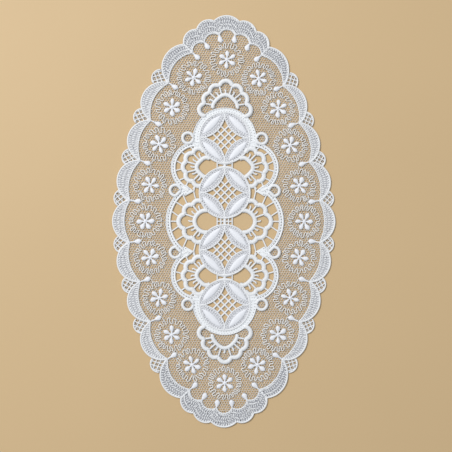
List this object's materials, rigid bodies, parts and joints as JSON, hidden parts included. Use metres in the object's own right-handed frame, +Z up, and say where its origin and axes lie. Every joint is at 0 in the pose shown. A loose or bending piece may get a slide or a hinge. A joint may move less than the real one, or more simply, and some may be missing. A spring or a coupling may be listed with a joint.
{
  "type": "lace tablecloth",
  "caption": "Flat oval lace mat: scalloped embroidered tulle with flowers and buds round an openwork guipure centre of leaf medallions and fans.",
  "frame": {"origin": "middle of the cloth's outline, on the surface it lies on", "axes": "+Y along the cloth's length, +X across it, +Z up out of the right side of the lace"},
  "size_m": [0.2156, 0.3996, 0.0027],
  "materials": {
    "tulle_ground": "matte fine net with satin-stitch embroidery",
    "guipure_centre": "soft satin-stitch cord and stitched filling"
  },
  "bodies": {
    "root": {"tulle_ground": "tulle_ground", "guipure_centre": "guipure_centre"}
  },
  "joints": []
}
